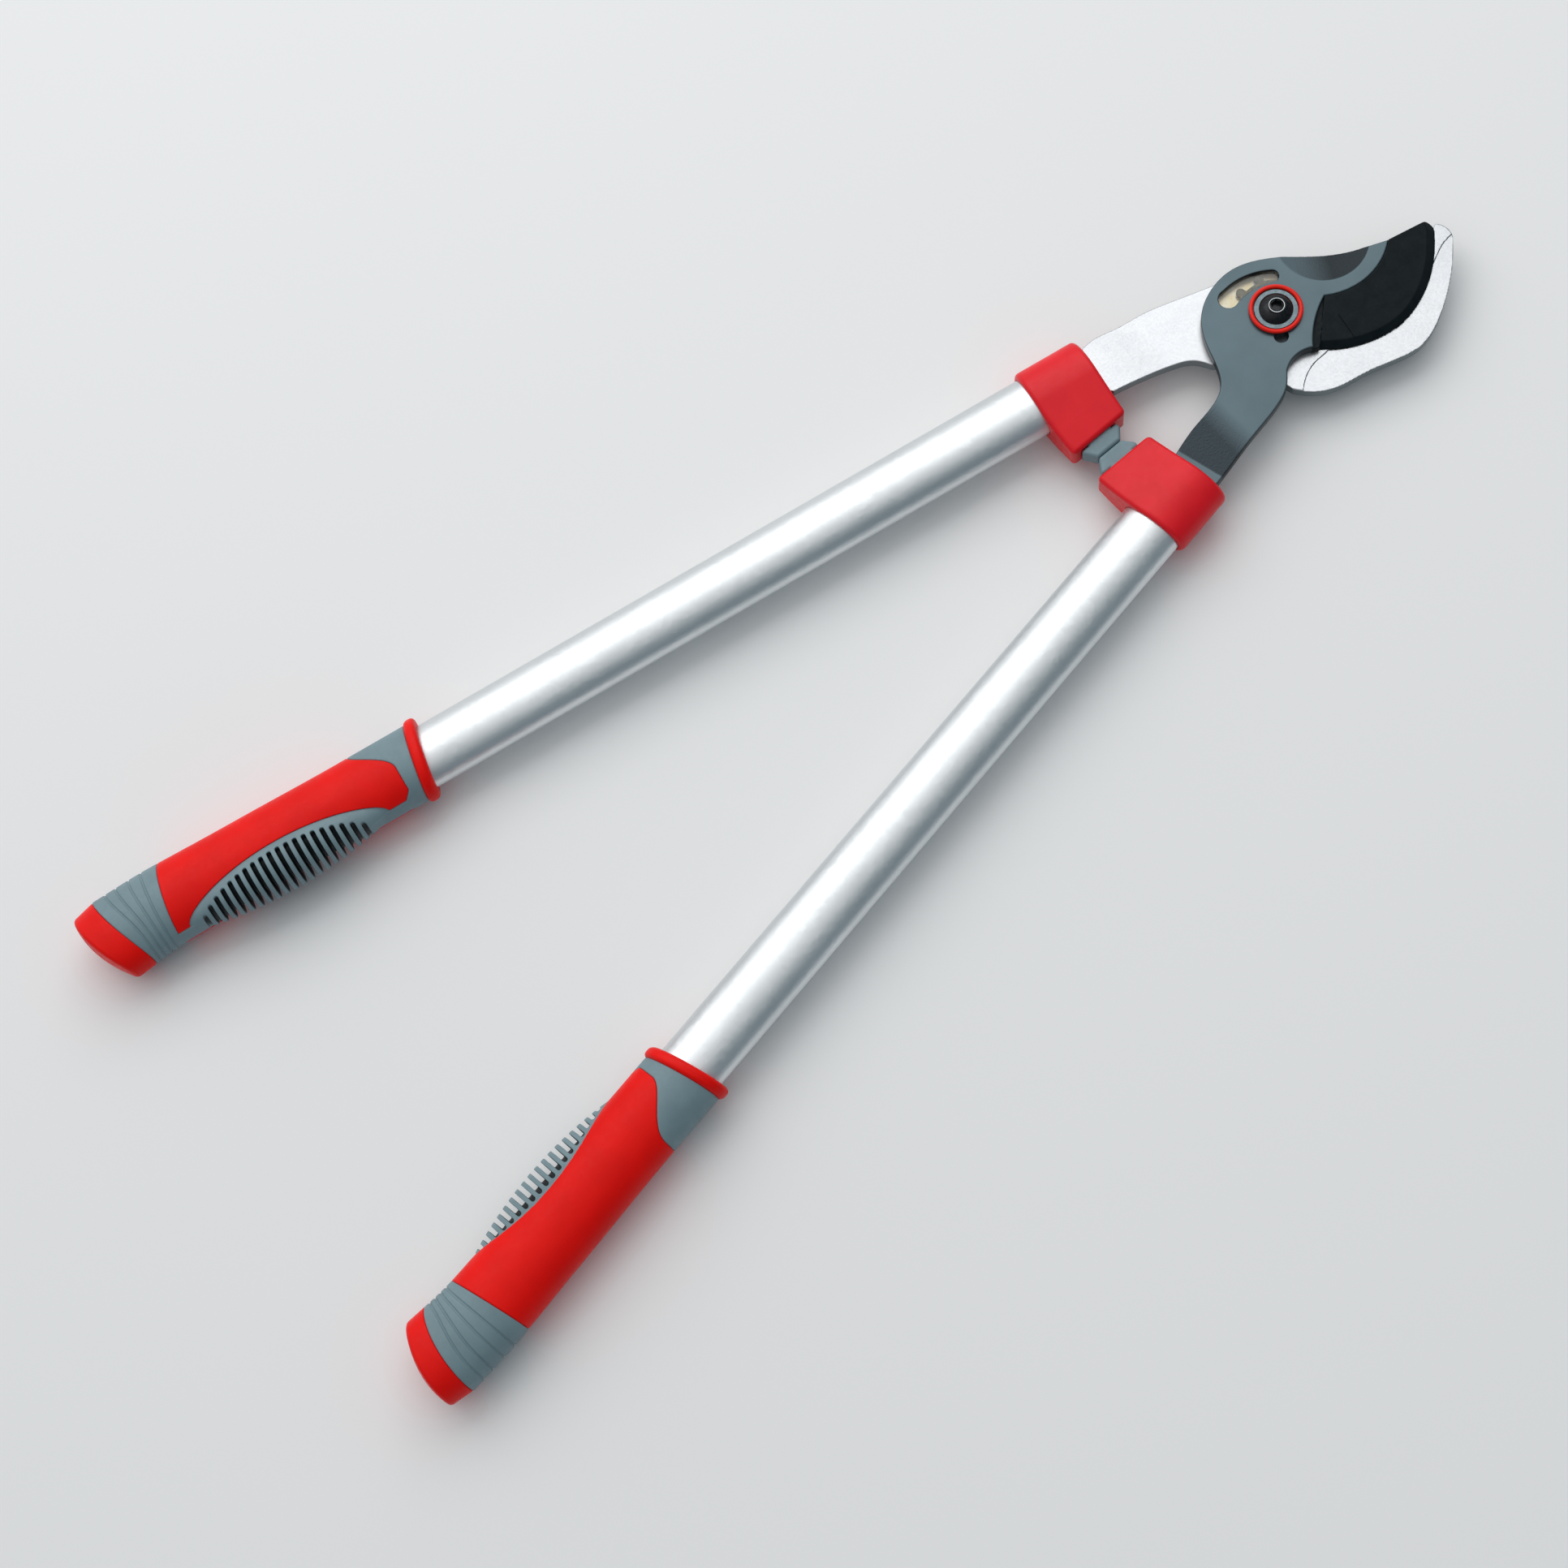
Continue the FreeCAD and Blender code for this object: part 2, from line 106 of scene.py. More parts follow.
def net_quads(values):
    """Surface net of a grid of distances: points in grid units and quads facing outward."""
    cells = np.array(values.shape) - 1
    rings, places = [], []
    for axis in range(3):
        first = np.moveaxis(values, axis, 0)[:-1]
        second = np.moveaxis(values, axis, 0)[1:]
        found = np.argwhere((first < 0) != (second < 0))
        a = first[tuple(found.T)].astype(float)
        b = second[tuple(found.T)].astype(float)
        others = [k for k in range(3) if k != axis]
        index = np.empty_like(found)
        index[:, axis] = found[:, 0]
        index[:, others[0]] = found[:, 1]
        index[:, others[1]] = found[:, 2]
        place = index.astype(float)
        place[:, axis] += a / (a - b)
        ring = []
        for d0, d1 in ((0, 0), (-1, 0), (-1, -1), (0, -1)):
            cell = index.copy()
            cell[:, others[0]] += d0
            cell[:, others[1]] += d1
            ring.append(np.ravel_multi_index(cell.T, cells))
        ring = np.stack(ring, 1)
        flip = (a < 0) == (axis == 1)
        ring[flip] = ring[flip][:, ::-1]
        rings.append(ring)
        places.append(place)
    ring = np.concatenate(rings)
    place = np.concatenate(places)
    used, quads = np.unique(ring, return_inverse=True)
    quads = quads.reshape(-1, 4)
    count = np.bincount(quads.ravel())
    sums = [np.bincount(quads.ravel(), np.repeat(place[:, k], 4)) for k in range(3)]
    points = np.stack([total / count for total in sums], 1)
    return points, quads


def grow(field, low, high, step):
    """Closed mesh of the zero surface of a field inside a box: points, quads and normals in mm."""
    low = np.array(low, float) - 2.0 * step
    high = np.array(high, float) + 2.0 * step
    counts = np.ceil((high - low) / step).astype(int) + 1
    x, y, z = [low[k] + step * np.arange(counts[k]) for k in range(3)]
    values = np.broadcast_to(field(x[:, None, None], y[None, :, None], z[None, None, :]), counts)
    points, quads = net_quads(values)
    points = low + step * points
    for _ in range(2):
        slope = gradient(field, points, 0.2 * step)
        size = np.maximum((slope ** 2).sum(1), 0.2)
        move = (field(*points.T) / size)[:, None] * slope
        points -= np.clip(move, -0.6 * step, 0.6 * step)
    normals = gradient(field, points, 0.2 * step)
    normals /= np.linalg.norm(normals, axis=1)[:, None] + 1e-9
    return points, quads, normals


def to_handle(points, side):
    """Move points or normals from a handle's own frame to its place; side +1 upper, -1 lower."""
    turned = points * np.array([1.0, side, side])
    c, s = math.cos(HALF_ANGLE), -side * math.sin(HALF_ANGLE)
    out = turned.copy()
    out[:, 0] = c * turned[:, 0] - s * turned[:, 1]
    out[:, 1] = s * turned[:, 0] + c * turned[:, 1]
    return out


def add_mesh(name, points, quads, normals=None):
    """Mesh object from points in mm."""
    mesh = bpy.data.meshes.new(name)
    mesh.from_pydata((points * MM).tolist(), [], quads.tolist())
    mesh.update()
    mesh.polygons.foreach_set("use_smooth", [True] * len(mesh.polygons))
    if normals is not None:
        mesh.normals_split_custom_set_from_vertices(normals.tolist())
    piece = bpy.data.objects.new(name, mesh)
    bpy.context.scene.collection.objects.link(piece)
    return piece


def dress(piece, node, material):
    """Let a detailed piece stand for a CAD node, in its body."""
    piece.data.materials.append(material)
    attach(piece, body_of[node])
    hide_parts(node)


body_of = {n: body for body, members in frame["record"]["behaviour"]["bodies"].items() for n in members}


# ---------------------------------------------------------------- grips

# Places along a handle and half sizes (across, up), in the handle's own frame.
RING_U, RING_SLANT, RING_HALF, RING_ROUND = -566.6, -0.185, 2.9, 2.4
RING_OVAL = (19.8, 14.6)
HULL = (18.2, 13.4)
FLARE_START, FLARE_END = -697.0, -738.0
PANEL_HEAD, PANEL_TAIL = -578.0, -696.1
CAP_JOINT, CAP_END, SOCKET_END = -723.2, -737.25, -728.0
PAD_U, PAD_AXIS, PAD_R, PAD_ARC = -642.5, 11.6, 12.8, 195.0
FIN_MID, FIN_PITCH, FIN_SLOT, FIN_COUNT = -644.0, 4.3, 2.2, 20
FIN_TOP, FIN_DROP, FIN_SPAN = 9.7, 7.3, 40.0
SEAM_STRIP, SEAM_MID = 4.1, -1.5
GROOVE_R = 0.55
# Where each groove crosses the pad's side of the grip and where the far side.
GROOVES = ((-712.0, -720.6), (-709.0, -715.0), (-705.9, -708.3), (-702.7, -701.8))


def unroll(v, z):
    """Coordinates of the grip's pattern: w towards the finned pad, h across it."""
    c, s = math.cos(ROLL), math.sin(ROLL)
    return -(v * c - z * s), v * s + z * c


def grip_hull(u, v, z):
    """Plain oval grip that swells and flares towards its end."""
    flare = ease(u, FLARE_START, FLARE_END)
    swell = ease(u, -650.0, -710.0)
    lift = ease(u, -600.0, -660.0)
    close = np.clip((-726.5 - u) / 12.0, 0.0, 1.0)
    half_w = HULL[0] + 1.0 * swell + 0.4 * lift + 1.3 * flare - 1.5 * close
    half_h = HULL[1] + 0.5 * swell + 0.2 * flare - 1.0 * close
    return oval(v - 0.5 * lift + 2.5 * flare + 1.5 * close, z, half_w, half_h)


def mouth_ring(u, v, z):
    """Ring round the mouth of the grip."""
    lean = (u - RING_U + RING_SLANT * v) / math.hypot(1.0, RING_SLANT)
    return round_max(oval(v, z, *RING_OVAL), np.abs(lean) - RING_HALF, RING_ROUND)


def behind_ring(u, v):
    """Negative on the grip's side of the ring's middle."""
    return u - RING_U + RING_SLANT * v


def pad_bulge(u, v, z):
    """The finned pad before it is slotted, bowed along the grip."""
    w, h = unroll(v, z)
    radius = PAD_R - PAD_ARC + np.sqrt(PAD_ARC ** 2 - np.minimum(np.abs(u - PAD_U), 73.0) ** 2)
    return np.hypot(w - PAD_AXIS, h) - radius


def panel_zone(u, v, z):
    """Negative where the hard red panels are."""
    w, h = unroll(v, z)
    head = u - PANEL_HEAD + 17.6 * ease(w, 5.0, -16.0)
    tail = PANEL_TAIL - 0.165 * w - u
    strip = np.where(w > 0.0, SEAM_STRIP - np.abs(h - SEAM_MID), -10.0)
    corner = 0.75 * (head + strip) + 2.6
    zone = np.maximum(np.maximum(head, tail), np.maximum(strip, corner))
    return np.maximum(zone, -pad_bulge(u, v, z))


def cap_edge(u, v, z):
    """Negative on the cap's side of its joint with the sleeve."""
    w, _ = unroll(v, z)
    return u - CAP_JOINT - 0.33 * w - 0.0055 * w * w


def end_face(u, v, z):
    """Distance past the slanted, slightly domed end of the grip."""
    return CAP_END - 0.27 * v + 0.0135 * v * v + 0.012 * z * z - u


def fin_gaps(u, v, z):
    """Slots between the fins, which start lower and go less deep towards both ends."""
    w, _ = unroll(v, z)
    last = (FIN_COUNT - 1) / 2
    centre = FIN_PITCH * np.clip(np.round((u - FIN_MID) / FIN_PITCH - 0.5) + 0.5, -last, last)
    offset = np.abs(centre / FIN_SPAN)
    top = FIN_TOP + FIN_DROP * offset ** 2.2
    gap = round_max(np.abs(u - FIN_MID - centre) - FIN_SLOT / 2, top - w, 1.05)
    floor = 0.8 + 1.4 * offset ** 6
    return round_max(gap, -oval(v, z, LINER[0] + floor, LINER[1] + floor), 0.3)


def fan_grooves(u, v, z):
    """Round channels that fan out over the end of the sleeve."""
    w, _ = unroll(v, z)
    hull = grip_hull(u, v, z)
    nearest = 9.0
    bend = 0.5 * (1.0 - np.cos(np.pi * np.clip((20.0 - w) / 40.0, 0.0, 1.0)))
    for inner, outer in GROOVES:
        nearest = np.minimum(nearest, np.hypot(u - inner - (outer - inner) * bend, hull) - GROOVE_R)
    return nearest


def grip_core(u, v, z):
    panels = round_max(grip_hull(u, v, z), panel_zone(u, v, z), 0.7)
    panels = np.maximum(panels, behind_ring(u, v))
    liner = np.maximum(oval(v, z, *LINER), behind_ring(u, v))
    body = np.minimum(np.minimum(panels, liner), mouth_ring(u, v, z))
    return np.maximum(np.maximum(body, -oval(v, z, *TUBE)), -cap_edge(u, v, z) * 0.9)


def grip_sleeve(u, v, z):
    body = np.minimum(grip_hull(u, v, z), pad_bulge(u, v, z))
    body = round_max(body, -panel_zone(u, v, z), 0.6)
    body = round_max(body, -cap_edge(u, v, z) * 0.9, 0.6)
    body = round_max(body, behind_ring(u, v) + 2.8, 0.6)
    body = np.maximum(body, -oval(v, z, *LINER))
    body = round_max(body, -fin_gaps(u, v, z), 0.35)
    return round_max(body, -fan_grooves(u, v, z), 0.3)


def end_cap(u, v, z):
    body = round_max(grip_hull(u, v, z), end_face(u, v, z) * 0.93, 1.3)
    body = round_max(body, cap_edge(u, v, z) * 0.9, 0.7)
    socket = np.maximum(oval(v, z, *TUBE), SOCKET_END - u)
    return np.maximum(body, -socket)


def add_grips():
    step = 0.42
    parts = (("grip_core", grip_core, (-742.0, -21.0, -16.0), (-557.0, 21.0, 19.0), red_grip()),
             ("grip_sleeve", grip_sleeve, (-732.0, -26.0, -18.0), (-565.0, 21.0, 21.0), grey_rubber()),
             ("end_cap", end_cap, (-742.0, -25.0, -16.0), (-712.0, 21.0, 16.0), red_grip()))
    for part, field, low, high, material in parts:
        points, quads, normals = grow(field, low, high, step)
        for side, name in ((1, "upper_"), (-1, "lower_")):
            place = to_handle(points, side) + np.array([AXES_CROSS_X, 0.0, middle])
            piece = add_mesh("fine_" + name + part, place, quads, to_handle(normals, side))
            dress(piece, name + part, material)


# ---------------------------------------------------------------- collars and stops

LOBE_HALF_H, LOBE_FACE_Y = 6.4, 7.7
STOP_HALF_H, STOP_ROUND = 4.4, 1.3
COLLAR_OVAL, COLLAR_TAIL, COLLAR_MOUTH = (17.8, 12.0), -241.4, -208.3
STEM_GAP = 0.15


def lobe_face(u, v):
    """Distance past the flat face of the collar that holds the rubber stop."""
    return LOBE_FACE_Y - (v * math.cos(HALF_ANGLE) - u * math.sin(HALF_ANGLE))


def collar(u, v, z):
    """Collar over the tube's end, with the lobe that holds the rubber stop."""
    flank = np.abs(z) - (LOBE_HALF_H + (v + 34.0) * 0.1766)
    lobe = np.maximum(flank, np.maximum(v + 4.5, -40.0 - v))
    body = np.minimum(oval(v, z, *COLLAR_OVAL), lobe)
    body = round_max(body, lobe_face(u, v), 1.9)
    body = round_max(body, COLLAR_TAIL + 0.0022 * v ** 2 - u, 2.4)
    body = round_max(body, u - COLLAR_MOUTH - 0.0008 * v ** 2, 2.4)
    socket = np.maximum(oval(v, z, *TUBE), u + 211.0)
    body = round_max(body, -socket, 0.6)
    body = round_max(body, 2.6 - np.maximum(np.abs(z), np.abs(v) - 7.4), 0.4)
    stem = np.maximum(np.abs(z) - STOP_HALF_H, stop_outline(*to_plan(u, v)) - STOP_ROUND) - STEM_GAP
    return round_max(body, -stem, 0.4)


def to_plan(u, v):
    """Plan position of a point of the upper handle."""
    c, s = math.cos(HALF_ANGLE), math.sin(HALF_ANGLE)
    return AXES_CROSS_X + u * c + v * s, v * c - u * s


def rubber_stop(x, y, z):
    """The upper stop, in the row frame."""
    return round_max(stop_outline(x, y) - STOP_ROUND, np.abs(z - middle) - STOP_HALF_H, 1.5)


def add_collars():
    step = 0.5
    shell = grow(collar, (-241.0, -36.0, -12.5), (-205.0, 18.5, 12.5), step)
    block = grow(rubber_stop, (-115.0, 0.0, middle - STOP_HALF_H),
                 (-90.0, 15.5, middle + STOP_HALF_H), step)
    for side, name in ((1, "upper_"), (-1, "lower_")):
        points, quads, normals = shell
        place = to_handle(points, side) + np.array([AXES_CROSS_X, 0.0, middle])
        piece = add_mesh("fine_" + name + "collar", place, quads, to_handle(normals, side))
        dress(piece, name + "collar", red_plastic())
        points, quads, normals = block
        mirror = np.array([1.0, side, 1.0])
        turned = quads if side > 0 else quads[:, ::-1]
        piece = add_mesh("fine_" + name + "bumper", points * mirror, turned, normals * mirror)
        dress(piece, name + "bumper", grey_rubber())


# ---------------------------------------------------------------- flat forgings

def arc_points(start, through, end, count=12):
    """Points of the circle through three points, from start up to end."""
    (ax, ay), (bx, by), (cx, cy) = start, through, end
    a, b, c = ax * ax + ay * ay, bx * bx + by * by, cx * cx + cy * cy
    d = 2.0 * (ax * (by - cy) + bx * (cy - ay) + cx * (ay - by))
    x = (a * (by - cy) + b * (cy - ay) + c * (ay - by)) / d
    y = (a * (cx - bx) + b * (ax - cx) + c * (bx - ax)) / d
    first, middle_turn, last = [math.atan2(q - y, p - x) for p, q in (start, through, end)]
    turn = (last - first) % (2.0 * math.pi)
    if (middle_turn - first) % (2.0 * math.pi) > turn:
        turn -= 2.0 * math.pi
    radius = math.hypot(ax - x, ay - y)
    angles = first + turn * np.linspace(0.0, 1.0, count, endpoint=False)
    return np.stack([x + radius * np.cos(angles), y + radius * np.sin(angles)], 1)


def spline_points(points, per_span=6):
    """Natural cubic spline through the points, from the first up to the last."""
    p = np.array(points, float)
    t = np.concatenate([[0.0], np.cumsum(np.linalg.norm(np.diff(p, axis=0), axis=1))])
    h = np.diff(t)
    n = len(p)
    system, right = np.eye(n), np.zeros((n, 2))
    for k in range(1, n - 1):
        system[k, k - 1:k + 2] = h[k - 1], 2.0 * (h[k - 1] + h[k]), h[k]
        right[k] = 6.0 * ((p[k + 1] - p[k]) / h[k] - (p[k] - p[k - 1]) / h[k - 1])
    bend = np.linalg.solve(system, right)
    out = []
    for k in range(n - 1):
        for f in np.linspace(0.0, 1.0, per_span, endpoint=False):
            a, b = 1.0 - f, f
            out.append(a * p[k] + b * p[k + 1]
                       + h[k] ** 2 / 6.0 * ((a ** 3 - a) * bend[k] + (b ** 3 - b) * bend[k + 1]))
    return np.array(out)


def trace(pieces):
    """Closed path of lines (two points), arcs (three) and smooth curves (more)."""
    path = []
    for points in pieces:
        if len(points) == 2:
            path.append(np.array(points[:1], float))
        elif len(points) == 3:
            path.append(arc_points(*points))
        else:
            path.append(spline_points(points))
    return np.concatenate(path)


class Outline:
    """Signed distance to a closed plan outline, negative inside, kept on a fine grid."""

    def __init__(self, pieces, step=0.25, margin=7.0):
        path = trace(pieces)
        self.step = step
        self.low = path.min(0) - margin
        counts = np.ceil((path.max(0) + margin - self.low) / step).astype(int) + 1
        x = self.low[0] + step * np.arange(counts[0])[:, None]
        y = self.low[1] + step * np.arange(counts[1])[None, :]
        best = np.full(counts, 1e9)
        inside = np.zeros(counts, bool)
        for (x0, y0), (x1, y1) in zip(path, np.roll(path, -1, axis=0)):
            ex, ey = x1 - x0, y1 - y0
            t = np.clip(((x - x0) * ex + (y - y0) * ey) / (ex * ex + ey * ey), 0.0, 1.0)
            best = np.minimum(best, (x - x0 - t * ex) ** 2 + (y - y0 - t * ey) ** 2)
            spans = (y0 <= y) != (y1 <= y)
            if ey != 0.0:
                inside ^= spans & (x < x0 + (y - y0) * ex / ey)
        self.grid = np.where(inside, -1.0, 1.0) * np.sqrt(best)

    def __call__(self, x, y):
        fx = np.clip((x - self.low[0]) / self.step, 0.0, self.grid.shape[0] - 1.001)
        fy = np.clip((y - self.low[1]) / self.step, 0.0, self.grid.shape[1] - 1.001)
        ix, iy = fx.astype(int), fy.astype(int)
        fx, fy = fx - ix, fy - iy
        near = self.grid[ix, iy] * (1 - fy) + self.grid[ix, iy + 1] * fy
        far = self.grid[ix + 1, iy] * (1 - fy) + self.grid[ix + 1, iy + 1] * fy
        return near * (1 - fx) + far * fx


def lines(points):
    """Straight pieces from each point to the next."""
    return [[points[k], points[k + 1]] for k in range(len(points) - 1)]


def handle_point(u, v, side):
    x, y = to_plan(u, v)
    return (x, side * y)


def tang_outline(side, inner_v, outer_v):
    """End of a lever inside its tube, from its inner edge to its outer one."""
    corners = [(-205.8, inner_v), (-208.0, inner_v + 2.2), (-208.0, -10.0), (-256.0, -10.0),
               (-256.0, 10.0), (-208.0, 10.0), (-206.2, outer_v)]
    return [handle_point(u, v, side) for u, v in corners]


def inset(points, r):
    """Corners of a counter-clockwise outline drawn in by r."""
    p = np.array(points, float)
    side = np.roll(p, -1, axis=0) - p
    side /= np.linalg.norm(side, axis=1)[:, None]
    after = np.stack([-side[:, 1], side[:, 0]], 1)
    before = np.roll(after, 1, axis=0)
    shift = (before + after) / (1.0 + (before * after).sum(1))[:, None]
    return [tuple(corner) for corner in p + r * shift]


STOP = inset([(-113.4, 6.0), (-109.4, 0.15), (-96.0, 0.15), (-91.8, 5.0), (-91.8, 7.7),
              (-95, 7.7), (-95, 15), (-109, 15), (-109, 7.7), (-113.4, 7.7)], STOP_ROUND)
stop_outline = Outline(lines(STOP + STOP[:1]))

hook_tang = tang_outline(1, -14.5, 12.0)
hook_outline = Outline(lines(hook_tang) + [
    [hook_tang[-1], (-70, 47.0), (-60, 44.9), (-46, 42.6), (-28, 37.1), (-14, 32.2), (-4, 28.6)],
    [(-4, 28.6), (10, 24.0), (19, 12), (19.5, -2), (13, -14), (13, -23), (20, -31),
     (31, -36.2), (42, -37.2), (56, -34), (68, -27.5), (79, -19), (87.2, -15.2)],
    [(87.2, -15.2), (89.57, -20.2), (88.4, -25.6)],
    [(88.4, -25.6), (78, -36), (64, -46.3), (51, -53.2), (38, -56.1), (26, -53.6),
     (10, -48.8), (-6, -44.8), (-15, -38.4), (-19.4, -33)],
    [(-19.4, -33), (-26, -15), (-38.5, 1.2)],
    [(-38.5, 1.2), (-43, 8), (-51, 12.6), (-64, 16.5), hook_tang[0]]])
ground_outline = Outline([
    [(-21, -41), (-12.5, -33.6), (-7.5, -31), (0, -29.5), (8, -29), (18, -22)],
    [(18, -22), (60, -14)],
    [(60, -14), (69, -31)],
    [(69, -31), (77, -27.2), (84.5, -24.6), (96, -25.5)],
    [(96, -25.5), (96, -64)],
    [(96, -64), (-21, -64)],
    [(-21, -64), (-21, -41)]])

lever_tang = tang_outline(-1, -13.4, 10.6)
lever_outline = Outline(lines(lever_tang) + [
    [lever_tang[-1], (-62, -42.0), (-45, -38.6), (-30, -35.2), (-22.5, -31.6), (-17, -26)],
    [(-17, -26), (-8.5, -22.9), (0, -25.2)],
    [(0, -25.2), (9.3, -16.2), (21.6, -9.5)],
    [(21.6, -9.5), (42, -15.9), (63.1, -8.2)],
    [(63.1, -8.2), (47.5, -1), (32.5, 9.6), (17.5, 21.2), (0, 29.3), (-15, 28), (-27.5, 20.7),
     (-34.6, 10), (-38.6, -1), (-45, -11.5), (-56, -16.2), (-68, -17.9), lever_tang[0]]])
window_outline = Outline([
    [(-11.0, 23.7), (1.2, 22.7), (12.6, 16.8)],
    [(12.6, 16.8), (13.9, 13.2), (10.3, 11.1)],
    [(10.3, 11.1), (-1.0, 15.0), (-11.6, 14.4)],
    [(-11.6, 14.4), (-16.6, 19.3), (-11.0, 23.7)]])

CUTTING_EDGE = [(83.9, -18.3), (74, -28.2), (58, -38.2), (40, -42.3), (21, -38.4), (10, -32.4),
                (2.6, -26.3)]
blade_outline = Outline([
    [(21.6, -9.5), (42, -15.9), (63.1, -8.2)],
    [(63.1, -8.2), (81.6, -11.7)],
    [(81.6, -11.7), (84.5, -14.9), (83.9, -18.3)],
    CUTTING_EDGE,
    [(2.6, -26.3), (21.6, -9.5)]])
# The cutting edge closed by a wide loop behind it, for the distance to the edge alone.
edge_outline = Outline([CUTTING_EDGE] + lines(
    [(2.6, -26.3), (-12, -14), (30, 25), (100, 10), (83.9, -18.3)]))
heel_outline = Outline([[(0, -25.2), (9.3, -16.2), (21.6, -9.5)],
                        [(21.6, -9.5), (2.6, -26.3)], [(2.6, -26.3), (0, -25.2)]])


# Radii round the pivot, and how deep the flat faces are cut there.
BOLT_R, BUSH_R, SEAT_R, POCKET_R = 5.0, 7.05, 15.0, 21.8
SEAT_DEEP, POCKET_DEEP, GROUND_DEEP = 1.05, 2.4, 0.45
TANG_HALF_H = 2.6
NOTCH, NOTCH_R = (-7.0, -11.3), 3.3
SCOOP, SCOOP_BALL, SCOOP_LIFT = (41.0, 13.0), 90.0, 87.3
HOLLOW, HOLLOW_R, HOLLOW_SLOPE = (42.0, 18.3), 34.2, 0.118
BEVEL_SLOPE, HEEL_HIGH = 1.35, 3.4


def jog(x, bend_x, flat_x, low, thick):
    """Lower and upper faces of a forging whose tang steps to mid-height."""
    t = np.clip((x - bend_x) / (flat_x - bend_x), 0.0, 1.0)
    t = 0.6 * t + 0.4 * t * t * (3.0 - 2.0 * t)
    bottom = low + t * (middle - TANG_HALF_H - low)
    top = low + thick + t * (middle + TANG_HALF_H - low - thick)
    return bottom, top


def hook_lever(x, y, z):
    """Counter-blade and tang, with its ground jaw and the seat for the disc."""
    bottom, top = jog(x, -51.0, -78.0, hook_low, hook_top - hook_low)
    plan = hook_outline(x, y)
    body = round_max(plan, bottom - z, 0.6)
    body = round_max(body, z - top, 0.5)
    ground = np.maximum(ground_outline(x, y), hook_top - GROUND_DEEP - z)
    body = round_max(body, -ground, 0.12)
    seat = np.maximum(np.hypot(x, y) - SEAT_R, hook_top - SEAT_DEEP - z)
    body = np.maximum(body, -seat)
    return np.maximum(body, BOLT_R - np.hypot(x, y))


def blade_lever(x, y, z):
    """Grey lever with its window, thumb scoop, notch and bore."""
    bottom, top = jog(x, -54.0, -74.0, lever_low, lever_top - lever_low)
    plan = lever_outline(x, y)
    body = round_max(plan, z - top, 0.75)
    body = round_max(body, bottom - z, 0.5)
    body = round_max(body, -window_outline(x, y), 0.45)
    above = z - lever_top - SCOOP_LIFT
    ball = np.sqrt((x - SCOOP[0]) ** 2 + (y - SCOOP[1]) ** 2 + above ** 2)
    body = round_max(body, SCOOP_BALL - ball, 0.15)
    body = round_max(body, NOTCH_R - np.hypot(x - NOTCH[0], y - NOTCH[1]), 0.3)
    bore = BUSH_R - np.hypot(x, y)
    pocket = np.maximum(np.hypot(x, y) - POCKET_R, z - lever_low - POCKET_DEEP)
    return np.maximum(np.maximum(body, bore), -pocket)


def cutting_blade(x, y, z):
    """Hollow-ground blade with its bevel and the step at its heel."""
    out = np.hypot(x - HOLLOW[0], y - HOLLOW[1])
    hollow = lever_top - HOLLOW_SLOPE * np.maximum(out - HOLLOW_R, 0.0)
    body = round_max(blade_outline(x, y), (z - hollow) * 0.99, 0.4)
    bevel = (edge_outline(x, y) + (z - lever_low) * BEVEL_SLOPE) * 0.6
    body = round_max(body, bevel, 0.15)
    heel_step = np.maximum(heel_outline(x, y) - 0.4, z - lever_low - HEEL_HIGH)
    in_pocket = np.minimum(POCKET_R - np.hypot(x, y), lever_low + POCKET_DEEP - z)
    heel_step = np.maximum(heel_step, in_pocket)
    return np.maximum(np.minimum(body, heel_step), lever_low - z)


def add_forgings():
    step = 0.45
    flats = (("hook_lever", hook_lever, (-135.0, -57.0, 8.0), (91.0, 55.0, 19.0), steel()),
             ("blade_lever", blade_lever, (-132.0, -55.0, 11.5), (64.0, 31.0, 21.0), grey_paint()),
             ("cutting_blade", cutting_blade, (-1.5, -43.5, 14.0), (86.0, -7.0, 21.0), black_coat()))
    for name, field, low, high, material in flats:
        points, quads, normals = grow(field, low, high, step)
        dress(add_mesh("fine_" + name, points, quads, normals), name, material)


# ---------------------------------------------------------------- materials

made_materials = {}


def keep(make):
    """Make each material once."""
    def once():
        if make.__name__ not in made_materials:
            made_materials[make.__name__] = make()
        return made_materials[make.__name__]
    return once


